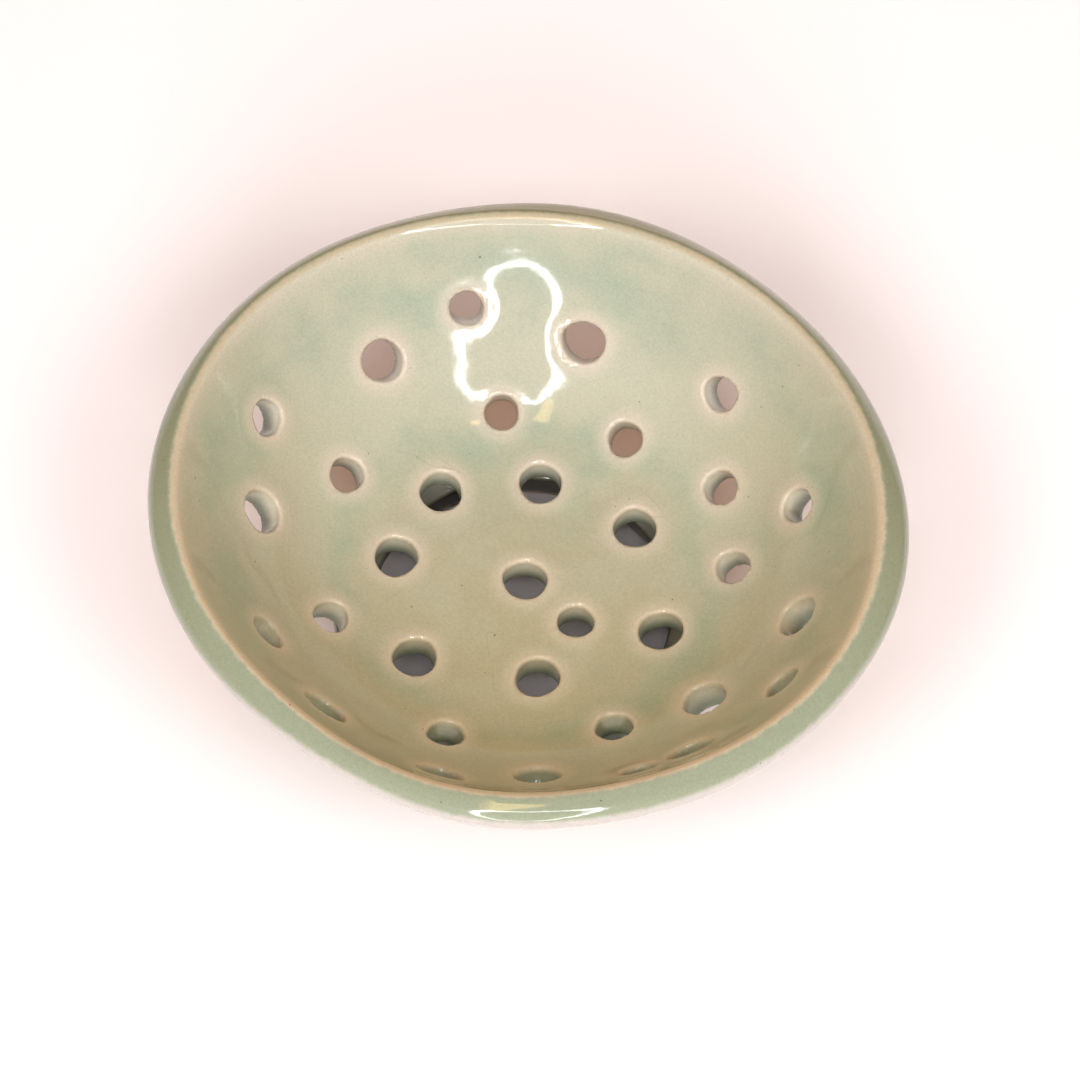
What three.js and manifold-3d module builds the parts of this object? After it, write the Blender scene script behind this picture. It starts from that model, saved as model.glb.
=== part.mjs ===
// Flower frog: a shallow hand-thrown stoneware bowl, pierced all over with round stem holes,
// standing on a low foot ring. Millimetres, +Z up. The part stands on Z = 0, and its origin is
// the middle of its outline, seen from above.
import * as THREE from "three";
import { mergeVertices } from "three/addons/utils/BufferGeometryUtils.js";
import Module from "manifold-3d";

const wasm = await Module();
wasm.setup();

// ---- Driving dimensions: millimetres and degrees ----
const RIM_RADIUS = 56.3; // wheel axis to the inner edge of the lip, before the rim is pushed out of round
const BOWL_DEPTH = 27; // inside, from the floor up to the inner edge of the lip
const WALL = 5.4; // one thickness all over, floor and wall
const LIP_INNER_ROUND = 1.4; // the lip is the cut edge of the wall, with both its corners sponged round
const LIP_OUTER_ROUND = 2.5;

const FOOT_HEIGHT = 6.5; // resting face to the underside of the floor
const FOOT_INNER_RADIUS = 26.6;
const FOOT_WIDTH = 4.4;
const FOOT_TAPER = 0.6; // each side of the foot leans in by this much towards its resting face
const FOOT_ROUND = 0.7;
const FOOT_OFFSET = [-0.5, -0.5]; // the foot ring stands slightly off the wheel axis
const FOOT_GAP = 0.3; // between the foot ring and the bowl it is luted to

const LARGE_HOLE = 7.4; // diameters at the surface, glaze and sponged edge included
const SMALL_HOLE = 6.1;

// The rim, pushed out of round by hand. Each wave is [waves round the rim, size, where it peaks].
const RIM_PUSH = [
  [1, 3.1, 80],
  [2, 1.9, -26],
  [3, 0.4, 25],
  [4, 0.15, -20],
  [5, 0.2, -27],
  [6, 0.15, 16],
];
const RIM_RISE = [
  [1, 0.2, 114],
  [2, 0.4, -74],
  [3, 0.35, -26],
  [4, 0.25, -8],
];

// The stem holes, pierced by eye in loose rings. Each is [distance from the wheel axis, direction].
const LARGE_HOLES = [
  // the one at the middle, a little behind the wheel axis
  [1.9, 90],
  // ring on the floor
  [22, 33], [21, 83], [23.5, 127], [22.5, 164], [23.5, 216], [17.5, 277], [24, 340],
  // one that strays into the ring where the wall begins
  [38, 321],
  // upper ring, on the wall
  [44, 77], [44.5, 122], [44, 168], [47, 223], [46.5, 252], [41.5, 273], [47.5, 305], [45.5, 345],
];
const SMALL_HOLES = [
  [10.5, 324],
  // ring where the wall begins
  [34.5, 4], [37, 28], [33, 59], [33.5, 97], [35.5, 146], [33.5, 192], [33.5, 246], [32, 298],
  // upper ring, on the wall
  [45.5, 12], [45.5, 44], [47.5, 102], [48, 150], [46, 200], [47, 294], [49, 327],
];

// ---- Fineness of the solids ----
const ROUND_SEGMENTS = 60;
const PROFILE_STEPS = 10;
const LIP_STEPS = 2;
const HOLE_SEGMENTS = 12;

// ---- The bowl's surface ----

// Height of the bowl's inside, over its floor, at a distance from the wheel axis: flat across the
// floor, then one sweep up into a wall that straightens towards the rim.
function insideHeight(radius) {
  const rho = radius / RIM_RADIUS;
  return BOWL_DEPTH * (1.25 * rho ** 4.7 - 0.25 * rho ** 10);
}

// Unit direction up the wall, and the one straight through it to the outside, in the (radius, z) plane.
function wallDirections(radius) {
  const step = 0.01;
  const rise = (insideHeight(radius + step) - insideHeight(radius - step)) / (2 * step);
  const up = new THREE.Vector2(1, rise).normalize();
  return { up, out: new THREE.Vector2(up.y, -up.x) };
}

// A point at a depth below the inside surface, measured square to it.
function wallPoint(radius, depth) {
  const { out } = wallDirections(radius);
  return new THREE.Vector2(radius, insideHeight(radius)).addScaledVector(out, depth);
}

function wave(terms, angle) {
  let sum = 0;
  for (const [count, size, peak] of terms) {
    sum += size * Math.cos(count * (angle - THREE.MathUtils.degToRad(peak)));
  }
  return sum;
}

// The hand-pushed shape: a turned point moves outwards and upwards, more the nearer it is to the rim.
function pushed(radius, angle, height) {
  const rho = radius / RIM_RADIUS;
  const newRadius = radius + wave(RIM_PUSH, angle) * rho ** 2;
  const newHeight = height + wave(RIM_RISE, angle) * rho ** 3;
  return new THREE.Vector3(newRadius * Math.cos(angle), newRadius * Math.sin(angle), newHeight);
}

function insidePoint(radius, angle) {
  return pushed(radius, angle, insideHeight(radius));
}

// ---- Solids ----

function toSolid(geometry) {
  const bare = geometry.clone();
  bare.deleteAttribute("normal");
  bare.deleteAttribute("uv");
  const merged = mergeVertices(bare, 1e-4);
  return new wasm.Manifold(
    new wasm.Mesh({
      numProp: 3,
      vertProperties: new Float32Array(merged.attributes.position.array),
      triVerts: new Uint32Array(merged.index.array),
    }),
  );
}

function toGeometry(solid) {
  const mesh = solid.getMesh();
  const geometry = new THREE.BufferGeometry();
  geometry.setAttribute("position", new THREE.BufferAttribute(mesh.vertProperties, 3));
  geometry.setIndex(new THREE.BufferAttribute(mesh.triVerts, 1));
  geometry.computeVertexNormals();
  return geometry;
}

// Turns a profile of (radius, z) points about +Z; the points run anticlockwise, with z upwards.
function turned(profile) {
  const geometry = new THREE.LatheGeometry(profile, ROUND_SEGMENTS);
  geometry.rotateX(Math.PI / 2);
  return geometry;
}

// Gives a turned geometry the bowl's hand-pushed shape.
function push(geometry) {
  const position = geometry.attributes.position;
  for (let i = 0; i < position.count; i++) {
    const x = position.getX(i);
    const y = position.getY(i);
    const point = pushed(Math.hypot(x, y), Math.atan2(y, x), position.getZ(i));
    position.setXYZ(i, point.x, point.y, point.z);
  }
  return geometry;
}

// Profile points along one face of the wall, from the axis to a radius, closer together near the rim.
function facePoints(depth, lastRadius) {
  const points = [];
  for (let i = 0; i <= PROFILE_STEPS; i++) {
    points.push(wallPoint(lastRadius * (i / PROFILE_STEPS) ** 0.7, depth));
  }
  points[0].x = 0;
  return points;
}

// A quarter turn about a corner of the lip, from one direction to the one square to it.
function cornerArc(centre, radius, from, to) {
  const points = [];
  for (let i = 0; i <= LIP_STEPS; i++) {
    const turn = ((i / LIP_STEPS) * Math.PI) / 2;
    const point = centre.clone();
    point.addScaledVector(from, radius * Math.cos(turn));
    point.addScaledVector(to, radius * Math.sin(turn));
    points.push(point);
  }
  return points;
}

function lipPoints() {
  const { up, out } = wallDirections(RIM_RADIUS);
  const edge = wallPoint(RIM_RADIUS, 0);
  const inner = edge.clone().addScaledVector(up, -LIP_INNER_ROUND).addScaledVector(out, LIP_INNER_ROUND);
  const outer = edge.clone().addScaledVector(up, -LIP_OUTER_ROUND);
  outer.addScaledVector(out, WALL - LIP_OUTER_ROUND);
  const inwards = out.clone().negate();
  return [
    ...cornerArc(inner, LIP_INNER_ROUND, inwards, up),
    ...cornerArc(outer, LIP_OUTER_ROUND, up, out),
  ];
}

function bowlBlank() {
  const { up } = wallDirections(RIM_RADIUS);
  const margin = 0.8;
  const outside = facePoints(WALL, RIM_RADIUS - up.x * (LIP_OUTER_ROUND + margin));
  const inside = facePoints(0, RIM_RADIUS - up.x * (LIP_INNER_ROUND + margin));
  const profile = [...outside, ...lipPoints().reverse(), ...inside.reverse()];
  return push(turned(profile));
}

// A punch that stands square to the inside surface and reaches well past both faces of the wall.
function holePunch(radius, angle, diameter) {
  const step = 0.05;
  const centre = insidePoint(radius, angle);
  const alongWall = insidePoint(radius + step, angle).sub(insidePoint(radius - step, angle));
  const around = insidePoint(radius, angle + step).sub(insidePoint(radius, angle - step));
  const normal = alongWall.cross(around).normalize();
  const punch = new THREE.CylinderGeometry(diameter / 2, diameter / 2, 4 * WALL, HOLE_SEGMENTS);
  punch.applyQuaternion(new THREE.Quaternion().setFromUnitVectors(new THREE.Vector3(0, 1, 0), normal));
  punch.translate(centre.x, centre.y, centre.z);
  return punch;
}

function makeBowl() {
  let bowl = toSolid(bowlBlank());
  const sizes = [
    [LARGE_HOLES, LARGE_HOLE],
    [SMALL_HOLES, SMALL_HOLE],
  ];
  for (const [holes, diameter] of sizes) {
    for (const [radius, direction] of holes) {
      const punch = holePunch(radius, THREE.MathUtils.degToRad(direction), diameter);
      bowl = bowl.subtract(toSolid(punch));
    }
  }
  return toGeometry(bowl);
}

// The foot ring is a plain turned ring whose top is cut to the curve of the bowl's underside.
function makeFootRing() {
  const low = -WALL - FOOT_HEIGHT;
  const high = 0;
  const inner = FOOT_INNER_RADIUS;
  const outer = FOOT_INNER_RADIUS + FOOT_WIDTH;
  const profile = [
    new THREE.Vector2(inner + FOOT_TAPER + FOOT_ROUND, low),
    new THREE.Vector2(outer - FOOT_TAPER - FOOT_ROUND, low),
    new THREE.Vector2(outer - FOOT_TAPER, low + FOOT_ROUND),
    new THREE.Vector2(outer, high),
    new THREE.Vector2(inner, high),
    new THREE.Vector2(inner + FOOT_TAPER, low + FOOT_ROUND),
  ];
  profile.push(profile[0].clone());
  const blank = turned(profile);
  blank.translate(FOOT_OFFSET[0], FOOT_OFFSET[1], 0);

  const top = BOWL_DEPTH;
  const underside = facePoints(WALL + FOOT_GAP, RIM_RADIUS * 0.8);
  const rim = underside[underside.length - 1];
  const room = push(turned([...underside, new THREE.Vector2(rim.x, top), new THREE.Vector2(0, top)]));
  return toGeometry(toSolid(blank).subtract(toSolid(room)));
}

// ---- Materials and scene graph ----
const celadon = new THREE.MeshStandardMaterial({ color: 0xb9c4a4, roughness: 0.12, metalness: 0 });
celadon.name = "celadon_glaze";
const bareFoot = new THREE.MeshStandardMaterial({ color: 0xb5ab8e, roughness: 0.35, metalness: 0 });
bareFoot.name = "foot_glaze_and_bare_clay";

const bowl = new THREE.Mesh(makeBowl(), celadon);
bowl.name = "bowl";
const footRing = new THREE.Mesh(makeFootRing(), bareFoot);
footRing.name = "foot_ring";

const frog = new THREE.Group();
frog.add(bowl, footRing);

// The origin goes to the middle of the outline, on the resting face of the foot.
const box = new THREE.Box3().setFromObject(frog, true);
const middle = box.getCenter(new THREE.Vector3());
frog.position.set(-middle.x, -middle.y, -box.min.z);

export default frog;
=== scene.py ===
"""Flower frog: a pierced celadon bowl on a foot ring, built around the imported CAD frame.

The two pots' surfaces are written as distance fields in millimetres, in the bowl's own frame
(wheel axis at x = y = 0, inside floor at z = 0), meshed, and moved into the CAD frame in metres.
"""

import math

import bpy
import numpy as np
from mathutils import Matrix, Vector


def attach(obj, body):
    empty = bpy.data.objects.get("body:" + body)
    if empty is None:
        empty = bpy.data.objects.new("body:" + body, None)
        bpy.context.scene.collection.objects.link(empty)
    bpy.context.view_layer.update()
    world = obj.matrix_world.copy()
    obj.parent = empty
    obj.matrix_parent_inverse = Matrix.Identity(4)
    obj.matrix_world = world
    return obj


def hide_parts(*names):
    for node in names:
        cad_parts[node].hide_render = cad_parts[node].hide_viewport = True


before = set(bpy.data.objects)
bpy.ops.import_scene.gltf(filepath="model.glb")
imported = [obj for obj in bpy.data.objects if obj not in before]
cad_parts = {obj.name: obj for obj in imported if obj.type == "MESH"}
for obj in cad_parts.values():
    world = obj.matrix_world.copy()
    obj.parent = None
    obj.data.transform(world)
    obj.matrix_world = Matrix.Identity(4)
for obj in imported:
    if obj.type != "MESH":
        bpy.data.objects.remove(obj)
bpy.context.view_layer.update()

MM = 0.001

# ---- Driving dimensions, as the CAD model has them: millimetres and degrees ----
RIM_RADIUS = 56.3
BOWL_DEPTH = 27.0
WALL = 5.4
LIP_INNER_ROUND = 1.4
FOOT_HEIGHT = 6.5
FOOT_INNER_RADIUS = 26.6
FOOT_WIDTH = 4.4
FOOT_TAPER = 0.6
FOOT_OFFSET = (-0.5, -0.5)
LARGE_HOLE = 7.4
SMALL_HOLE = 6.1

# Waves round the rim: (how many, size, where it peaks).
RIM_PUSH = ((1, 3.1, 80), (2, 1.9, -26), (3, 0.4, 25), (4, 0.15, -20), (5, 0.2, -27), (6, 0.15, 16))
RIM_RISE = ((1, 0.2, 114), (2, 0.4, -74), (3, 0.35, -26), (4, 0.25, -8))

# Stem holes: (distance from the wheel axis, direction).
LARGE_HOLES = (
    (1.9, 90),
    (22, 33), (21, 83), (23.5, 127), (22.5, 164), (23.5, 216), (17.5, 277), (24, 340),
    (38, 321),
    (44, 77), (44.5, 122), (44, 168), (47, 223), (46.5, 252), (41.5, 273), (47.5, 305), (45.5, 345),
)
SMALL_HOLES = (
    (10.5, 324),
    (34.5, 4), (37, 28), (33, 59), (33.5, 97), (35.5, 146), (33.5, 192), (33.5, 246), (32, 298),
    (45.5, 12), (45.5, 44), (47.5, 102), (48, 150), (46, 200), (47, 294), (49, 327),
)

# ---- What the visual surface adds to the CAD's: millimetres and degrees ----
LIP_OUTER_ROUND = 3.6   # the CAD's plainer lip has 2.5
RIDGE_DRIFT = ((1, 0.3, 95), (2, 0.1, 50), (3, 0.1, 25), (4, 0.15, -30))
LIP_SPREAD = 1.1        # how much the lip thickens outwards, and how that varies round the rim
LIP_DRIFT = ((1, 0.15, -80), (2, 0.1, 40), (3, 0.35, -45), (4, 0.45, 5), (5, 0.25, 0), (8, 0.15, -10))
LIP_LEAN = 0.13         # how far the lip's cut face leans towards level, outwards
LIP_LEAN_DRIFT = ((1, 0.2, -90), (2, 0.1, -90))
SHOULDER = 0.12         # height of the swelling that the cutter raised round each hole
RIM_SWELL = 0.36        # how far the back wall swells inwards under the lip
HOLE_ROUND = 0.6        # radius of the holes' sponged edges on the inside
HOLE_ROUND_MORE = 0.4   # how much larger that radius is on the outside
HOLE_TIGHTER = 0.09     # how much smaller the holes' radius is, since their rounded edges open them
CELL = 0.74             # spacing of the bowl's mesh

# Where the bowl's own frame stands in the CAD frame, in metres. The CAD's origin is in the middle of its
# outline, on the resting face.
BOWL_ORIGIN = np.array([-0.386, -2.857, WALL + FOOT_HEIGHT]) * MM


# ================================================================= the bowl's shape

def inside_height(radius):
    """The turned bowl's inside surface: nearly flat floor, steep wall."""
    rho = np.abs(radius) / RIM_RADIUS
    return BOWL_DEPTH * (1.25 * rho ** 4.7 - 0.25 * rho ** 10)


def wave(terms, angle):
    """Sum of the waves round the rim, at an angle in radians."""
    return sum(size * np.cos(count * (angle - math.radians(peak))) for count, size, peak in terms)


def push(radius, angle, height):
    """From the turned shape to the hand-pushed one."""
    rho = radius / RIM_RADIUS
    r = radius + wave(RIM_PUSH, angle) * rho ** 2 + wave(RIDGE_DRIFT, angle) * rho ** 8
    return np.stack([r * np.cos(angle), r * np.sin(angle), height + wave(RIM_RISE, angle) * rho ** 3], -1)


def unpush(points):
    """Back to (radius, angle, height) of the turned shape."""
    angle = np.arctan2(points[..., 1], points[..., 0])
    pushed = np.hypot(points[..., 0], points[..., 1])
    move, drift = wave(RIM_PUSH, angle), wave(RIDGE_DRIFT, angle)
    radius = pushed
    for _ in range(5):
        rho = np.minimum(radius / RIM_RADIUS, 1.2)
        radius = pushed - move * rho ** 2 - drift * rho ** 8
    height = points[..., 2] - wave(RIM_RISE, angle) * (radius / RIM_RADIUS) ** 3
    return radius, angle, height


def wall_directions(radius):
    """Unit vectors up the wall and out through it, in the (radius, height) plane."""
    step = 0.01
    rise = (inside_height(radius + step) - inside_height(radius - step)) / (2 * step)
    up = np.stack([np.ones_like(rise), rise], -1)
    up /= np.linalg.norm(up, axis=-1, keepdims=True)
    return up, np.stack([up[..., 1], -up[..., 0]], -1)


def wall_profile():
    """Points round the wall's section, from the middle of the floor, up the inside, over the lip, and
    back along the outside, with the arc length of each counted from the middle of the inner corner."""
    def face(depth, last):
        radius = last * np.linspace(0, 1, 260) ** 0.8
        _, out = wall_directions(radius)
        return np.stack([radius, inside_height(radius)], -1) + depth * out

    def arc(centre, radius, start, end, steps):
        turn = np.linspace(0, math.pi / 2, steps)[:, None]
        return centre + radius * (np.cos(turn) * start + np.sin(turn) * end)

    up, out = wall_directions(np.array(RIM_RADIUS))
    edge = np.array([RIM_RADIUS, inside_height(RIM_RADIUS)])
    inner = edge + LIP_INNER_ROUND * (out - up)
    outer = edge - LIP_OUTER_ROUND * up + (WALL - LIP_OUTER_ROUND) * out
    inside = face(0.0, RIM_RADIUS - up[0] * (LIP_INNER_ROUND + 0.1))
    outside = face(WALL, RIM_RADIUS - up[0] * (LIP_OUTER_ROUND + 0.1))
    corner = arc(inner, LIP_INNER_ROUND, -out, up, 25)
    points = np.concatenate([inside, corner, arc(outer, LIP_OUTER_ROUND, up, out, 33), outside[::-1]])
    length = np.concatenate([[0], np.cumsum(np.linalg.norm(np.diff(points, axis=0), axis=1))])
    return points, length - length[len(inside) + len(corner) // 2]


class SectionField:
    """Signed distance to the wall's section (negative in the clay), and the arc length of the nearest
    point, on a fine grid in the (radius, height) plane, read back with smooth interpolation."""

    def __init__(self, points, length, low, high, step):
        self.low, self.step = np.array(low), step
        self.shape = tuple(int(math.ceil((h - l) / step)) + 1 for l, h in zip(low, high))
        grid = np.stack(np.meshgrid(*[low[i] + step * np.arange(self.shape[i]) for i in (0, 1)],
                                    indexing="ij"), -1).reshape(-1, 2)
        a, b = points[:-1], points[1:]
        line = b - a
        squared = (line ** 2).sum(1)
        distance = np.empty(len(grid))
        along = np.empty(len(grid))
        for i in range(0, len(grid), 4000):
            p = grid[i:i + 4000, None]
            t = np.clip(((p - a) * line).sum(-1) / squared, 0, 1)
            gap = p - a - t[..., None] * line
            d2 = (gap ** 2).sum(-1)
            k = d2.argmin(1)
            rows = np.arange(len(k))
            g, l = gap[rows, k], line[k]
            side = np.where(l[:, 0] * g[:, 1] - l[:, 1] * g[:, 0] > 0, 1.0, -1.0)
            distance[i:i + 4000] = side * np.sqrt(d2[rows, k])
            along[i:i + 4000] = length[k] + t[rows, k] * np.sqrt(squared[k])
        self.distance = distance.reshape(self.shape)
        self.along = along.reshape(self.shape)

    def read(self, table, radius, height):
        """Cubic (Catmull-Rom) interpolation."""
        u = (np.stack([radius, height]) - self.low[:, None]) / self.step
        cell = np.clip(np.floor(u).astype(int), 1, np.array(self.shape)[:, None] - 3)
        t = np.clip(u - cell, 0, 1)
        weights = [(-0.5 * t + t ** 2 - 0.5 * t ** 3), (1 - 2.5 * t ** 2 + 1.5 * t ** 3),
                   (0.5 * t + 2 * t ** 2 - 1.5 * t ** 3), (-0.5 * t ** 2 + 0.5 * t ** 3)]
        total = 0
        for i in range(4):
            for j in range(4):
                total = total + weights[i][0] * weights[j][1] * table[cell[0] + i - 1, cell[1] + j - 1]
        return total


PROFILE, PROFILE_LENGTH = wall_profile()
SECTION = SectionField(PROFILE, PROFILE_LENGTH, (-1.0, -8.0), (67.0, 34.0), 0.2)


def hole_list():
    """Each hole's centre on the inside surface, the direction square to it, its radius and a phase."""
    holes = []
    step = 0.05
    for group, diameter in ((LARGE_HOLES, LARGE_HOLE), (SMALL_HOLES, SMALL_HOLE)):
        for radius, direction in group:
            a = math.radians(direction)

            def inside(r, angle):
                return push(np.array(r), np.array(angle), inside_height(np.array(r)))

            normal = np.cross(inside(radius + step, a) - inside(radius - step, a),
                              inside(radius, a + step) - inside(radius, a - step))
            holes.append((inside(radius, a), normal / np.linalg.norm(normal), diameter / 2, 7.0 * len(holes)))
    return holes


HOLES = hole_list()
LIP_DIRECTIONS = wall_directions(np.array(RIM_RADIUS))


def smooth_step(x, low, high):
    t = np.clip((x - low) / (high - low), 0, 1)
    return t * t * (3 - 2 * t)


def relief(radius, angle, along, hole):
    """Height added to the inside surface: the thrower's soft rings and slow dents, the low shoulder that
    the cutter raised round each hole, and a slight swelling of the back wall under the lip."""
    rings = 0.02 * np.sin(radius * 1.05 + 0.9 * np.sin(angle) + 0.25 * angle)
    dents = 0.05 * np.sin(3 * angle + 0.11 * radius + 0.6) * np.sin(radius * 0.13)
    dents = dents + 0.035 * np.sin(5 * angle - 0.17 * radius + 2.0) * np.sin(radius * 0.19 + 1.0)
    soft = np.clip(radius / 10, 0, 1) * np.clip((-3.0 - along) / 14.0, 0, 1)
    shoulder = SHOULDER * np.exp(-((np.maximum(hole, 0) - 0.5) / 2.2) ** 2)
    swell = RIM_SWELL * np.clip((radius - 46.0) / 10.0, 0, 1.1) ** 2 * (0.5 + 0.5 * np.sin(angle))
    swell = swell * np.clip((2.5 - along) / 3.0, 0, 1)
    return (rings + dents) * soft + shoulder * np.clip((-1.5 - along) / 3.0, 0, 1) + swell


def spread_lip(radius, angle, height):
    """Takes out the lip's own shape: its cut face leans towards level, and its outer half is thicker than
    the plain wall."""
    up, out = LIP_DIRECTIONS
    from_edge = np.stack([radius - RIM_RADIUS, height - BOWL_DEPTH], -1)
    depth, along = from_edge @ out, from_edge @ up
    share = smooth_step(depth, 0.8, 5.0) * smooth_step(along, -24.0, -3.0)
    shift = (LIP_SPREAD + wave(LIP_DRIFT, angle)) * share
    lean = (LIP_LEAN + wave(LIP_LEAN_DRIFT, angle)) * np.clip(depth, 0, 6) * smooth_step(along, -12.0, -2.0)
    return radius - shift * out[0] - lean * up[0], height - shift * out[1] - lean * up[1]


def shell_distance(points, hole):
    """Distance outside the unpierced bowl, with the arc length and the turned radius at each point."""
    radius, angle, height = unpush(points)
    radius, height = spread_lip(radius, angle, height)
    d = SECTION.read(SECTION.distance, radius, height)
    along = SECTION.read(SECTION.along, radius, height)
    return d - relief(radius, angle, along, hole), along, radius


def hole_distance(points):
    """Distance outside the nearest hole's wall (negative inside a hole)."""
    best = np.full(len(points), 99.0)
    for centre, normal, radius, phase in HOLES:
        near = np.flatnonzero(((points - centre) ** 2).sum(1) < (radius + 11) ** 2)
        if not len(near):
            continue
        rel = points[near] - centre
        depth = rel @ normal
        flat = rel - depth[:, None] * normal
        side = np.cross(normal, (0.36, 0.8, 0.48))
        side /= np.linalg.norm(side)
        turn = np.arctan2(flat @ np.cross(normal, side), flat @ side)
        wobble = 0.09 * np.cos(2 * turn + phase) + 0.06 * np.cos(3 * turn + 2.3 * phase)
        wobble = wobble + 0.035 * np.cos(5 * turn + 1.7 * phase + 0.3 * depth)
        wobble = wobble + 0.12 * np.maximum(np.cos((turn + phase) / 2), 0) ** 40 - HOLE_TIGHTER
        d = np.linalg.norm(flat, axis=1) - radius - wobble
        best[near] = np.minimum(best[near], d)
    return best


def bowl_distance(points):
    """The pierced bowl: the shell cut by the holes, with the edges between them rounded."""
    hole = hole_distance(points)
    shell, along, _ = shell_distance(points, hole)
    cut = -hole
    rounding = HOLE_ROUND + HOLE_ROUND_MORE * smooth_step(along, 0.0, 8.0)
    u = np.maximum(shell + rounding, 0)
    v = np.maximum(cut + rounding, 0)
    return np.minimum(-rounding, np.maximum(shell, cut)) + np.hypot(u, v)


# ================================================================= meshing

def surface_net(field, low, high, cell):
    """A closed quad mesh of field = 0 inside the box, one vertex in each cell that the surface crosses."""
    axes = [np.arange(low[i], high[i] + cell, cell) for i in range(3)]
    shape = tuple(len(a) for a in axes)
    grid = np.stack(np.meshgrid(*axes, indexing="ij"), -1).reshape(-1, 3)
    value = np.concatenate([field(grid[i:i + 200000]) for i in range(0, len(grid), 200000)]).reshape(shape)
    inside = value < 0
    cells = tuple(n - 1 for n in shape)
    total = np.zeros(cells + (3,))
    count = np.zeros(cells)
    crossings = []
    for axis in range(3):
        first = [slice(None)] * 3
        second = [slice(None)] * 3
        first[axis], second[axis] = slice(None, -1), slice(1, None)
        a, b = value[tuple(first)], value[tuple(second)]
        changed = inside[tuple(first)] != inside[tuple(second)]
        where = np.argwhere(changed)
        t = a[changed] / (a[changed] - b[changed])
        point = where.astype(float)
        point[:, axis] += t
        u, v = [k for k in range(3) if k != axis]
        crossings.append((axis, where, inside[tuple(first)][changed]))
        for du in (0, -1):
            for dv in (0, -1):
                index = where.copy()
                index[:, u] += du
                index[:, v] += dv
                ok = ((index >= 0) & (index < cells)).all(1)
                key = tuple(index[ok].T)
                np.add.at(total, key, point[ok])
                np.add.at(count, key, 1)
    number = np.full(cells, -1)
    used = count > 0
    number[used] = np.arange(used.sum())
    vertices = total[used] / count[used][:, None] * cell + np.array([a[0] for a in axes])
    faces = []
    for axis, where, leaving in crossings:
        u, v = (axis + 1) % 3, (axis + 2) % 3
        corners = []
        for du, dv in ((0, 0), (-1, 0), (-1, -1), (0, -1)):
            index = where.copy()
            index[:, u] += du
            index[:, v] += dv
            corners.append(number[tuple(index.T)])
        quad = np.stack(corners, 1)
        quad[~leaving] = quad[~leaving][:, ::-1]
        faces.append(quad)
    return vertices, np.concatenate(faces)


def gradient(field, points, step=0.04):
    """Central differences of the field."""
    out = np.empty_like(points)
    for axis in range(3):
        move = np.zeros(3)
        move[axis] = step
        out[:, axis] = (field(points + move) - field(points - move)) / (2 * step)
    return out


def relax(field, vertices, faces, rounds):
    """Moves the vertices onto the surface, evening out their spacing along it."""
    edges = np.concatenate([faces[:, (i, (i + 1) % 4)] for i in range(4)])
    degree = np.bincount(edges.ravel(), minlength=len(vertices))[:, None]
    for k in range(rounds):
        slope = gradient(field, vertices)
        squared = (slope ** 2).sum(1, keepdims=True)
        vertices = vertices - field(vertices)[:, None] * slope / squared
        if k == rounds - 1:
            break
        total = np.zeros_like(vertices)
        np.add.at(total, edges[:, 0], vertices[edges[:, 1]])
        np.add.at(total, edges[:, 1], vertices[edges[:, 0]])
        shift = total / degree - vertices
        normal = slope / np.sqrt(squared)
        vertices = vertices + 0.6 * (shift - (shift * normal).sum(1, keepdims=True) * normal)
    slope = gradient(field, vertices)
    return vertices, slope / np.linalg.norm(slope, axis=1, keepdims=True)


def make_object(name, vertices, faces, normals, attributes):
    """A mesh object in the CAD frame, from millimetres in the bowl's frame."""
    mesh = bpy.data.meshes.new(name)
    mesh.from_pydata((vertices * MM + BOWL_ORIGIN).tolist(), [], faces.tolist())
    mesh.update()
    mesh.polygons.foreach_set("use_smooth", np.ones(len(mesh.polygons), bool))
    for key, values in attributes.items():
        layer = mesh.attributes.new(key, "FLOAT", "POINT")
        layer.data.foreach_set("value", np.asarray(values, np.float32))
    if normals is not None:
        mesh.normals_split_custom_set_from_vertices(normals.tolist())
    piece = bpy.data.objects.new(name, mesh)
    bpy.context.scene.collection.objects.link(piece)
    return piece


# ================================================================= the bowl

def make_bowl():
    """The bowl's mesh, and three layers for its glaze, all in millimetres: how far round the lip a point is,
    how far it is from the nearest hole's edge (negative down the hole), and its turned radius."""
    low = (-66.0, -62.0, -WALL - 1.5)
    high = (66.0, 66.0, BOWL_DEPTH + 2.5)
    vertices, faces = surface_net(bowl_distance, low, high, CELL)
    vertices, normals = relax(bowl_distance, vertices, faces, 5)
    hole = hole_distance(vertices)
    shell, along, radius = shell_distance(vertices, hole)
    outer_half = (along > LIP_OUTER_ROUND + 4) & (hole < HOLE_ROUND)
    down_a_hole = shell < -1.2
    far_from_lip = -60.0
    return vertices, faces, normals, {
        "lip": np.where(down_a_hole, far_from_lip, along),
        "edge": np.where(outer_half, -WALL - shell, np.clip(hole, 0, 10) + np.minimum(shell, 0)),
        "turn": radius,
    }


# ================================================================= the foot ring

def underside_height(points):
    """Height of the bowl's underside over a point of the plane."""
    radius, angle, _ = unpush(np.column_stack([points, np.zeros(len(points))]))
    outside = PROFILE[PROFILE_LENGTH > LIP_OUTER_ROUND + WALL]
    order = np.argsort(outside[:, 0])
    height = np.interp(radius, outside[order, 0], outside[order, 1])
    return height + wave(RIM_RISE, angle) * (radius / RIM_RADIUS) ** 3


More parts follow.
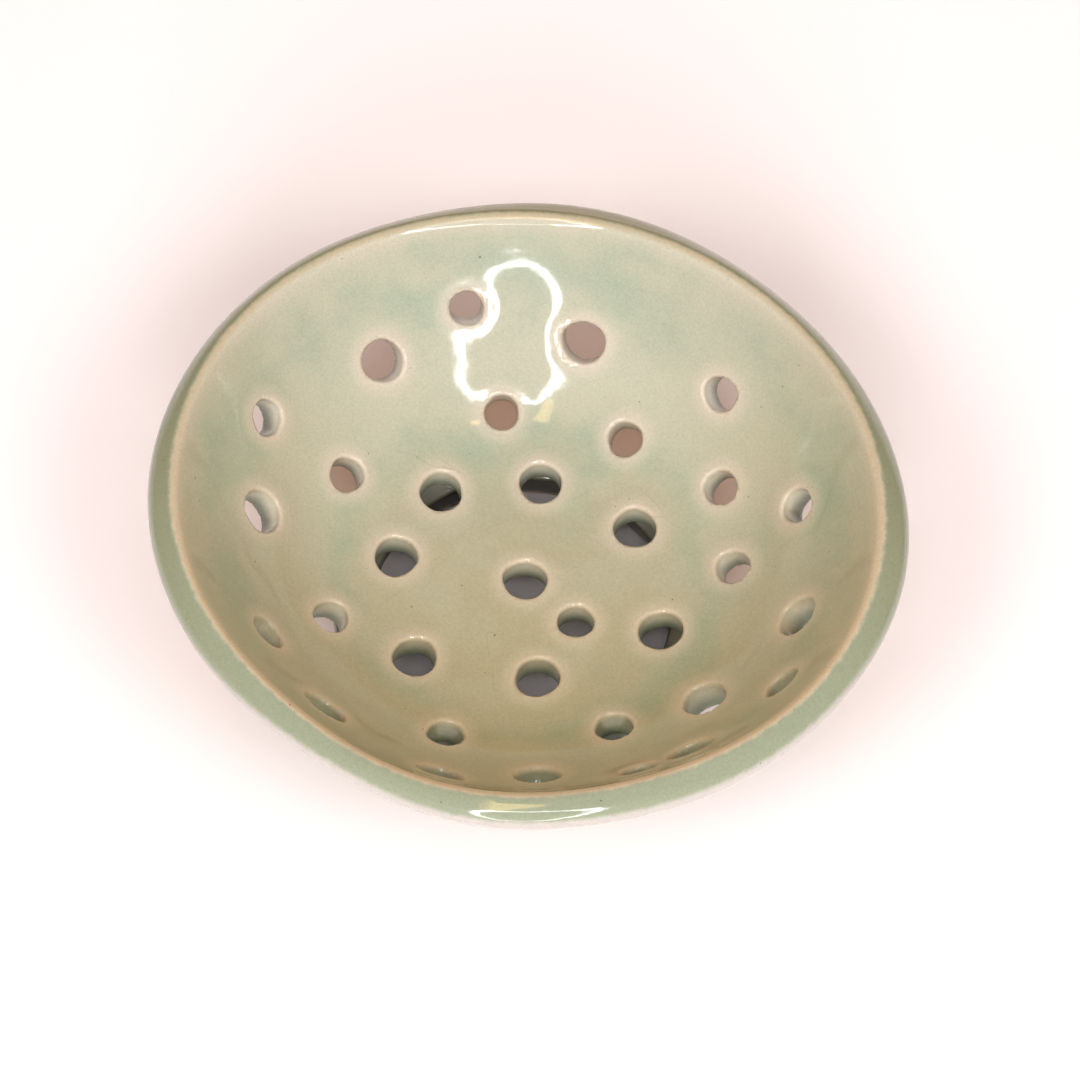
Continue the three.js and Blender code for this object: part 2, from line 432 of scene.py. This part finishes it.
def foot_section():
    """The foot's section: (distance out from its inner edge at the top, height from the resting face up
    as a share of the room, extra height), run from the inner side down, across and up the outer side."""
    fillet, round_ = 1.3, 0.8
    points = []
    for k in range(9):
        t = k / 8 * math.pi / 2
        points.append((-fillet + fillet * math.sin(t), 1.0, 0.12 - fillet * (1 - math.cos(t))))
    for share in (0.8, 0.6, 0.4, 0.25):
        points.append((FOOT_TAPER * (1 - share), share, 0))
    for k in range(7):
        t = k / 6 * math.pi / 2
        points.append((FOOT_TAPER + round_ * (1 - math.cos(t)), 0.0, round_ * (1 - math.sin(t))))
    middle = FOOT_WIDTH / 2
    other_side = [(2 * middle - x, share, extra) for x, share, extra in reversed(points)]
    return points + [(middle - 0.5, 0.0, 0.0), (middle, 0.0, 0.0), (middle + 0.5, 0.0, 0.0)] + other_side


def make_foot_ring(steps=288):
    """The foot ring's mesh, slightly uneven by hand, with a layer that marks its inner side."""
    section = foot_section()
    bottom = -WALL - FOOT_HEIGHT
    angle = np.linspace(0, 2 * math.pi, steps, endpoint=False)
    around = np.stack([np.cos(angle), np.sin(angle)], -1)
    rows, within = [], []
    buried = [(FOOT_WIDTH + 0.8, 1.0, 0.9), (-0.8, 1.0, 0.9)]
    for x, share, extra in section + buried:
        hand = 0.12 * np.sin(3 * angle + 1.0) + 0.07 * np.sin(7 * angle + 0.4 * x)
        radius = FOOT_INNER_RADIUS + x + hand * (0.3 + 0.7 * share)
        flat = radius[:, None] * around + np.array(FOOT_OFFSET)
        top = underside_height(flat)
        height = bottom + share * (top - bottom) + extra
        rows.append(np.column_stack([flat, height]))
        within.append(np.full(steps, 1.0 if x < FOOT_WIDTH / 2 and share > 0 else 0.0))
    vertices = np.concatenate(rows)
    count = len(rows)
    faces = []
    for i in range(count):
        a, b = i * steps, ((i + 1) % count) * steps
        for k in range(steps):
            n = (k + 1) % steps
            faces.append((a + k, b + k, b + n, a + n))
    return vertices, np.array(faces), {"within": np.concatenate(within)}


bowl_vertices, bowl_faces, bowl_normals, bowl_layers = make_bowl()
bowl = make_object("celadon_bowl", bowl_vertices, bowl_faces, bowl_normals, bowl_layers)
foot_vertices, foot_faces, foot_layers = make_foot_ring()
foot = make_object("glazed_foot_ring", foot_vertices, foot_faces, None, foot_layers)

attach(bowl, "root")
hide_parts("bowl")
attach(foot, "root")
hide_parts("foot_ring")


# ================================================================= materials

class Shader:
    """A few short words for building a node tree. Arguments are constants or sockets."""

    def __init__(self, name):
        self.material = bpy.data.materials.new(name)
        self.material.use_nodes = True
        self.tree = self.material.node_tree
        self.surface = self.tree.nodes["Principled BSDF"]

    def put(self, socket, value):
        if isinstance(value, bpy.types.NodeSocket):
            self.tree.links.new(value, socket)
        elif isinstance(value, tuple) and len(value) == 3 and socket.type == "RGBA":
            socket.default_value = (*value, 1)
        else:
            socket.default_value = value

    def node(self, kind, inputs, **settings):
        made = self.tree.nodes.new(kind)
        for key, value in settings.items():
            setattr(made, key, value)
        for key, value in inputs.items():
            self.put(made.inputs[key], value)
        return made

    def layer(self, name):
        return self.node("ShaderNodeAttribute", {}, attribute_name=name).outputs["Fac"]

    def place(self):
        """The point's own place in the object, in millimetres."""
        spot = self.node("ShaderNodeTexCoord", {}).outputs["Object"]
        return self.node("ShaderNodeVectorMath", {0: spot, 3: 1000.0}, operation="SCALE").outputs[0]

    def sum(self, a, b):
        return self.node("ShaderNodeMath", {0: a, 1: b}, operation="ADD").outputs[0]

    def less(self, a, b):
        return self.node("ShaderNodeMath", {0: a, 1: b}, operation="SUBTRACT").outputs[0]

    def times(self, a, b):
        return self.node("ShaderNodeMath", {0: a, 1: b}, operation="MULTIPLY").outputs[0]

    def top(self, a, b):
        return self.node("ShaderNodeMath", {0: a, 1: b}, operation="MAXIMUM").outputs[0]

    def step(self, x, low, high, start=0.0, end=1.0):
        """Smooth change from start to end as x goes from low to high."""
        made = self.node("ShaderNodeMapRange", {0: x, 1: low, 2: high, 3: start, 4: end},
                         interpolation_type="SMOOTHSTEP")
        return made.outputs[0]

    def bump_at(self, x, middle, before, after):
        """One hump: 1 at the middle, 0 at the given distances either side."""
        rise = self.step(x, middle - before, middle)
        return self.times(rise, self.step(x, middle, middle + after, 1.0, 0.0))

    def noise(self, size, detail=2.0, seed=0.0, roughness=0.5):
        """Soft noise around 0.5, with lumps of about the given size in millimetres."""
        shift = (seed, 2.3 * seed, -seed)
        spot = self.node("ShaderNodeVectorMath", {0: self.place(), 1: shift}, operation="ADD").outputs[0]
        settings = {"Vector": spot, "Scale": 1.0 / size, "Detail": detail, "Roughness": roughness}
        return self.node("ShaderNodeTexNoise", settings).outputs[0]

    def multiply(self, a, b):
        made = self.node("ShaderNodeMix", {0: 1.0}, data_type="RGBA", blend_type="MULTIPLY")
        self.put(made.inputs[6], a)
        self.put(made.inputs[7], b)
        return made.outputs[2]

    def mix(self, share, a, b):
        made = self.node("ShaderNodeMix", {0: share}, data_type="RGBA")
        self.put(made.inputs[6], a)
        self.put(made.inputs[7], b)
        return made.outputs[2]


# Glaze colours, some of them painted light, reflection or shade.
GLAZE = (0.415, 0.387, 0.262)
GLAZE_FLOOR = (0.390, 0.350, 0.218)
GLAZE_THICK = (0.285, 0.330, 0.220)     # pooled on the floor and wall
GLAZE_LIP = (0.215, 0.250, 0.165)
GLAZE_BREAK = (0.570, 0.465, 0.345)     # thin over corners and round the holes
GLAZE_ORANGE = (0.480, 0.330, 0.190)    # thinnest, along the ridge
PAINTED_LIP_REFLECTION = (0.470, 0.435, 0.410)      # painted reflection along the outer corner of the front lip
PAINTED_LIT_HOLE_WALL = (0.520, 0.500, 0.370)      # painted light on the upper walls of the back and side holes
DARK_GLAZE_AND_HOLE_SHADE = (0.165, 0.190, 0.130)      # deep in a hole, where it is painted shade; also the dark glaze of the hairlines and the foot
FOOT_SIDE = (0.20, 0.19, 0.13)
# painted shade on the foot ring's inner side, under the bowl
FOOT_INNER_SHADE = (0.085, 0.080, 0.055)
CLAY_DARK = (0.60, 0.47, 0.33)
CLAY_LIGHT = (0.70, 0.58, 0.44)
SPECK = (0.050, 0.045, 0.040)

# Painted light and shade, as tints from the front of the bowl to its back.
FRONT_PAINTED_WARM_LIGHT = (0.98, 0.955, 0.785)
BACK_PAINTED_COOL_LIGHT = (1.02, 1.06, 1.15)
LIP_FRONT_PAINTED_LIGHT = (1.12, 1.10, 1.08)
LIP_BACK_PAINTED_SHADE = (0.92, 0.95, 0.90)
OUTSIDE_BOUNCE_BROWN = (1.00, 0.76, 0.56)            # the outside, strongest at the back: a brown tint that warms the light it bounces onto the cloth in its shade

# The glaze's faint waves, in metres.
BOWL_WAVES = 0.00003
FOOT_WAVES = 0.00005


def glaze_surface(shader, colour, wave_height):
    """A glassy coat over the given colour, with the faint unevenness of a poured glaze."""
    surface = shader.surface
    shader.put(surface.inputs["Base Color"], colour)
    shader.put(surface.inputs["Roughness"], 0.38)
    shader.put(surface.inputs["Specular IOR Level"], 0.15)
    shader.put(surface.inputs["Coat Weight"], 1.0)
    shader.put(surface.inputs["Coat Roughness"], 0.065)
    shader.put(surface.inputs["Coat IOR"], 1.52)
    height = shader.sum(shader.noise(5.0, 2.0, 3.0), shader.times(shader.noise(0.9, 1.0, 7.0), 0.04))
    bump = shader.node("ShaderNodeBump", {"Strength": 1.0, "Distance": wave_height, "Height": height})
    shader.put(surface.inputs["Coat Normal"], bump.outputs[0])


def pool(shader, turn):
    """Colour of the glaze where it lies thick or thin over the floor and wall."""
    drift = shader.less(shader.noise(14.0, 2.0, 1.0), 0.5)
    mottle = shader.noise(1.1, 2.0, 9.0, 0.6)
    turned = shader.sum(turn, shader.times(drift, 14.0))
    pooled = shader.times(shader.bump_at(turned, 31.0, 6.5, 5.0), 0.4)
    pooled = shader.top(pooled, shader.times(shader.bump_at(turned, 50.5, 7.0, 7.0), 0.45))
    pooled = shader.sum(pooled, shader.times(shader.less(shader.noise(24.0, 1.0, 2.0), 0.5), 0.9))
    pooled = shader.sum(pooled, shader.times(shader.less(shader.noise(8.0, 2.0, 21.0), 0.45), 0.8))
    pooled = shader.sum(pooled, shader.times(shader.less(mottle, 0.5), 0.35))
    floor_share = shader.step(turned, 38.0, 20.0)
    floor_share = shader.times(floor_share, shader.step(shader.noise(11.0, 2.0, 31.0), 0.34, 0.60, 0.35, 1.0))
    colour = shader.mix(floor_share, GLAZE, GLAZE_FLOOR)
    return shader.mix(shader.step(pooled, 0.0, 1.0), colour, GLAZE_THICK)


def glaze_lip(shader, colour, lip, depth, ragged):
    """The cut face of the lip is greener, the glaze breaks thin on both its corners, and a painted reflection
    runs along the outer corner of the front lip.
    """
    ragged_lip = shader.sum(lip, shader.times(ragged, 0.9))
    face = shader.times(shader.step(ragged_lip, 0.1, 0.9), shader.step(ragged_lip, 4.8, 6.6, 1.0, 0.0))
    colour = shader.mix(shader.times(face, 0.9), colour, GLAZE_LIP)
    ridge = shader.times(shader.step(ragged_lip, -3.8, -0.4), shader.step(ragged_lip, 1.1, -0.1))
    ridge = shader.times(ridge, shader.step(depth, -30.0, 40.0, 0.5, 0.36))
    colour = shader.mix(ridge, colour, GLAZE_BREAK)
    colour = shader.mix(shader.times(shader.bump_at(ragged_lip, 0.0, 0.6, 0.5), 0.35), colour, GLAZE_ORANGE)
    # painted reflection: a pale band along the lip's outer corner, at the front only
    lip_reflection = shader.times(shader.step(ragged_lip, 3.2, 4.8), shader.step(ragged_lip, 8.0, 12.0, 1.0, 0.0))
    return shader.mix(shader.times(lip_reflection, shader.step(depth, -22.0, -46.0, 0.0, 0.8)), colour, PAINTED_LIP_REFLECTION)


def glaze_holes(shader, colour, edge, depth, ragged):
    """Round every hole: a broad pale halo, the sponged edge, painted light on the upper walls of the back and
    side holes, then thick glaze with painted shade down the hole's wall, darkest in the front holes.
    """
    ragged_edge = shader.sum(edge, shader.times(ragged, 0.5))
    colour = shader.mix(shader.step(edge, 3.6, 0.6, 0.0, 0.5), colour, GLAZE_BREAK)
    colour = shader.mix(shader.times(shader.bump_at(ragged_edge, 0.25, 0.6, 0.9), 0.7), colour, GLAZE_BREAK)
    # painted light: the upper walls of the back and side holes are paler, none at the front
    lit_wall_paint = shader.times(shader.step(ragged_edge, -0.2, -1.2), shader.step(depth, 0.0, -32.0, 0.6, 0.0))
    colour = shader.mix(lit_wall_paint, colour, PAINTED_LIT_HOLE_WALL)
    # painted shade: the walls of the front holes darken
    shaded_wall_paint = shader.times(shader.step(ragged_edge, -0.3, -1.3), shader.step(depth, -8.0, -40.0, 0.0, 0.7))
    colour = shader.mix(shaded_wall_paint, colour, DARK_GLAZE_AND_HOLE_SHADE)
    # painted shade: every hole's wall turns dark below its upper edge
    return shader.mix(shader.step(ragged_edge, -1.4, -4.2), colour, DARK_GLAZE_AND_HOLE_SHADE)


def craze(shader, colour, turn):
    """A few hair-fine crooked lines in the floor's glaze."""
    place = shader.place()
    bend = shader.node("ShaderNodeTexNoise", {"Vector": place, "Scale": 0.12, "Detail": 2.0}).outputs[1]
    bend = shader.node("ShaderNodeVectorMath", {0: bend, 3: 3.0}, operation="SCALE").outputs[0]
    sway = shader.node("ShaderNodeVectorMath", {0: place, 1: bend}, operation="ADD").outputs[0]
    cells = shader.node("ShaderNodeTexVoronoi", {"Vector": sway, "Scale": 0.045}, feature="DISTANCE_TO_EDGE")
    line = shader.step(cells.outputs["Distance"], 0.0, 0.005, 1.0, 0.0)
    line = shader.times(line, shader.step(shader.noise(9.0, 1.0, 17.0), 0.5, 0.62))
    line = shader.times(line, shader.step(turn, 38.0, 28.0))
    return shader.mix(shader.times(line, 0.25), colour, DARK_GLAZE_AND_HOLE_SHADE)


def iron_specks(shader, colour):
    """Two layers of specks, from the iron in the clay."""
    for scale, small, large, seed in ((0.16, 0.012, 0.036, 11.0), (0.36, 0.010, 0.050, 12.0)):
        cells = shader.node("ShaderNodeTexVoronoi", {"Vector": shader.place(), "Scale": scale}, feature="F1")
        size = shader.step(shader.noise(3.0, 0.0, seed), 0.4, 0.7, small, large)
        speck = shader.step(shader.less(cells.outputs["Distance"], size), 0.008, -0.014)
        colour = shader.mix(shader.times(speck, 0.75), colour, SPECK)
    return colour


def painted_light_and_grain(shader, colour, lip, depth):
    """Painted light and shade from front to back: warmer at the front, cooler at the back, the lip lighter at
    the front and darker at the back; a brown tint on the outside that warms its bounced light; and a fine
    grain.
    """
    # painted light: the front of the bowl is tinted warm, its back cool
    backwards = shader.step(depth, -50.0, 46.0)
    tint = shader.mix(backwards, FRONT_PAINTED_WARM_LIGHT, BACK_PAINTED_COOL_LIGHT)
    # painted light and shade: the lip and outside are lighter at the front and darker at the back
    tint = shader.mix(shader.step(lip, -1.0, 0.6), tint, shader.mix(backwards, LIP_FRONT_PAINTED_LIGHT, LIP_BACK_PAINTED_SHADE))
    # brown tint on the outside, most at the back, for warmer bounced light on the cloth under the bowl
    bounce_brown = shader.times(shader.step(lip, 7.5, 14.0), shader.step(depth, -30.0, 25.0, 0.35, 1.0))
    tint = shader.mix(bounce_brown, tint, OUTSIDE_BOUNCE_BROWN)
    fine = shader.noise(0.42, 2.0, 13.0, 0.7)
    grain = shader.node("ShaderNodeMapRange", {0: fine, 1: 0.25, 2: 0.75, 3: 0.90, 4: 1.10}).outputs[0]
    return shader.multiply(shader.multiply(colour, tint), grain)


def celadon():
    shader = Shader("celadon_glaze")
    lip, edge, turn = shader.layer("lip"), shader.layer("edge"), shader.layer("turn")
    depth = shader.node("ShaderNodeSeparateXYZ", {0: shader.place()}).outputs["Y"]
    ragged = shader.less(shader.noise(1.6, 3.0, 5.0), 0.5)
    colour = pool(shader, turn)
    colour = glaze_lip(shader, colour, lip, depth, ragged)
    colour = glaze_holes(shader, colour, edge, depth, ragged)
    colour = craze(shader, colour, turn)
    colour = iron_specks(shader, colour)
    colour = painted_light_and_grain(shader, colour, lip, depth)
    glaze_surface(shader, colour, BOWL_WAVES)
    return shader.material


def foot_glaze():
    """Glazed sides, wiped back to bare clay on the face the bowl stands on, with painted shade on the inner
    side.
    """
    shader = Shader("foot_ring_clay_and_glaze")
    height = shader.node("ShaderNodeSeparateXYZ", {0: shader.place()}).outputs["Z"]
    ragged = shader.less(shader.noise(2.5, 3.0, 4.0), 0.5)
    wiped = shader.sum(height, shader.times(ragged, 1.3))
    glazed = shader.step(wiped, 0.9, 1.15)
    side = shader.mix(shader.step(wiped, 1.0, 3.0), GLAZE_BREAK, FOOT_SIDE)
    side = shader.mix(shader.noise(5.0, 2.0, 8.0), side, DARK_GLAZE_AND_HOLE_SHADE)
    # painted shade: the foot ring's inner side is nearly black
    side = shader.mix(shader.step(shader.layer("within"), 0.0, 1.0), side, FOOT_INNER_SHADE)
    clay = shader.mix(shader.noise(0.6, 2.0, 2.0), CLAY_DARK, CLAY_LIGHT)
    glaze_surface(shader, shader.mix(glazed, clay, side), FOOT_WAVES)
    shader.put(shader.surface.inputs["Coat Weight"], glazed)
    shader.put(shader.surface.inputs["Roughness"], shader.step(glazed, 0.0, 1.0, 0.85, 0.38))
    return shader.material


def table_cloth():
    """Plain, pale and matt."""
    shader = Shader("pale_cloth")
    shader.put(shader.surface.inputs["Base Color"], (0.875, 0.842, 0.855))
    shader.put(shader.surface.inputs["Roughness"], 0.95)
    shader.put(shader.surface.inputs["Specular IOR Level"], 0.1)
    return shader.material


bowl.data.materials.append(celadon())
foot.data.materials.append(foot_glaze())


# ================================================================= stage, light, camera

CAMERA_ELEVATION = math.radians(58.5)
CAMERA_FIELD = math.radians(18.0)
CAMERA_DISTANCE = 0.570
FLOOR_REACH = 3.0
TENT = (0.53, 0.53, 0.55)
TENT_BACK = (0.36, 0.15, 0.04)
WARM_WHITE = (1.0, 0.96, 0.94)
AIM = Vector(BOWL_ORIGIN) + Vector((2.5, 3.7, 10.0)) * MM
TOWARDS_CAMERA = Vector((0, -math.cos(CAMERA_ELEVATION), math.sin(CAMERA_ELEVATION)))


def make_floor():
    mesh = bpy.data.meshes.new("table")
    corners = [(x * FLOOR_REACH, y * FLOOR_REACH, 0) for x, y in ((-1, -1), (1, -1), (1, 1), (-1, 1))]
    mesh.from_pydata(corners, [], [(0, 1, 2, 3)])
    floor = bpy.data.objects.new("table", mesh)
    bpy.context.scene.collection.objects.link(floor)
    mesh.materials.append(table_cloth())


def ring_band(half_width, half_height, band, slant, fullness):
    """Points and faces of a band bent into a slightly slanting oval."""
    steps = 144
    points, faces = [], []
    for k in range(steps):
        a = 2 * math.pi * k / steps
        across = math.copysign(abs(math.cos(a)) ** fullness, math.cos(a))
        along = math.copysign(abs(math.sin(a)) ** fullness, math.sin(a))
        for grow in (-band / 2, band / 2):
            y = (half_height + grow) * along
            points.append(((half_width + grow) * across + slant * y, y, 0))
        faces.append((2 * k, 2 * k + 1, (2 * k + 3) % (2 * steps), (2 * k + 2) % (2 * steps)))
    return points, faces


def lamp_panel(narrow, wide, height):
    """A four-sided panel, wider at the top."""
    points = [(-narrow / 2, -height / 2, 0), (narrow / 2, -height / 2, 0), (wide / 2, height / 2, 0),
              (-wide / 2, height / 2, 0)]
    return points, [(0, 1, 2, 3)]


def make_glossy_light(name, shape, distance, sideways, elevation, colour, strength):
    """A shape of light that shows only as its reflection in the glaze."""
    mesh = bpy.data.meshes.new(name)
    mesh.from_pydata(shape[0], [], shape[1])
    light = bpy.data.objects.new(name, mesh)
    bpy.context.scene.collection.objects.link(light)
    direction = Vector((sideways, -math.cos(elevation), math.sin(elevation))).normalized()
    light.location = AIM + direction * distance
    light.rotation_euler = direction.to_track_quat("Z", "Y").to_euler()
    shader = Shader(name)
    shader.tree.nodes.remove(shader.surface)
    emission = shader.node("ShaderNodeEmission", {"Color": colour, "Strength": strength})
    shader.put(shader.tree.nodes["Material Output"].inputs[0], emission.outputs[0])
    mesh.materials.append(shader.material)
    light.visible_camera = False
    light.visible_diffuse = False


def make_area_light(name, location, size, power, colour):
    """A soft lamp that lights the pot and the cloth but has no reflection in the glaze."""
    light = bpy.data.lights.new(name, "AREA")
    light.shape = "DISK"
    light.size = size
    light.energy = power
    light.color = colour
    lamp = bpy.data.objects.new(name, light)
    bpy.context.scene.collection.objects.link(lamp)
    lamp.location = location
    lamp.rotation_euler = (Vector(location) - AIM).to_track_quat("Z", "Y").to_euler()
    lamp.visible_glossy = False


def make_world():
    """A white tent all round, dimmer and browner low down behind the bowl."""
    world = bpy.data.worlds.new("studio")
    world.use_nodes = True
    nodes, links = world.node_tree.nodes, world.node_tree.links
    spot = nodes.new("ShaderNodeTexCoord")
    split = nodes.new("ShaderNodeSeparateXYZ")
    links.new(spot.outputs["Generated"], split.inputs[0])
    rise = nodes.new("ShaderNodeMapRange")
    rise.interpolation_type = "SMOOTHSTEP"
    rise.inputs[1].default_value, rise.inputs[2].default_value = 0.35, 0.9
    links.new(split.outputs["Z"], rise.inputs[0])
    behind = nodes.new("ShaderNodeMapRange")
    behind.interpolation_type = "SMOOTHSTEP"
    behind.inputs[1].default_value, behind.inputs[2].default_value = 0.1, -0.4
    links.new(split.outputs["Y"], behind.inputs[0])
    share = nodes.new("ShaderNodeMath")
    share.operation = "MAXIMUM"
    links.new(rise.outputs[0], share.inputs[0])
    links.new(behind.outputs[0], share.inputs[1])
    mix = nodes.new("ShaderNodeMix")
    mix.data_type = "RGBA"
    links.new(share.outputs[0], mix.inputs[0])
    mix.inputs[6].default_value = (*TENT_BACK, 1)
    mix.inputs[7].default_value = (*TENT, 1)
    links.new(mix.outputs[2], nodes["Background"].inputs[0])
    nodes["Background"].inputs[1].default_value = 1.0
    bpy.context.scene.world = world


def make_camera():
    """The photo's view: from in front and well above."""
    camera = bpy.data.cameras.new("camera")
    camera.angle = CAMERA_FIELD
    camera.clip_end = 20
    eye = bpy.data.objects.new("camera", camera)
    bpy.context.scene.collection.objects.link(eye)
    eye.location = AIM + TOWARDS_CAMERA * CAMERA_DISTANCE
    eye.rotation_euler = TOWARDS_CAMERA.to_track_quat("Z", "Y").to_euler()
    bpy.context.scene.camera = eye


make_floor()
ring = ring_band(half_width=0.072, half_height=0.206, band=0.014, slant=0.07, fullness=0.87)
make_glossy_light("ring_light", ring, 0.350, 0.0, math.radians(44.7), (0.97, 0.985, 1.0), 22)
panel = lamp_panel(narrow=0.010, wide=0.060, height=0.165)
make_glossy_light("warm_lamp", panel, 0.5, -0.056, math.radians(80.5), (1.0, 0.70, 0.30), 7.5)
make_area_light("top_softbox", (0.0, -0.62, 1.22), 0.7, 3, WARM_WHITE)
make_area_light("left_softbox", (-0.70, -0.76, 1.10), 0.6, 8.5, WARM_WHITE)
make_area_light("right_softbox", (0.70, -0.76, 1.10), 0.6, 8.5, WARM_WHITE)
make_area_light("front_softbox", (0.0, -1.32, 0.70), 0.6, 10.5, (1.0, 0.95, 0.98))
make_area_light("warm_back_lamp", (0.0, 0.80, 0.28), 0.4, 1.6, (1.0, 0.42, 0.09))
make_world()
make_camera()
bpy.context.scene.view_settings.view_transform = "Standard"
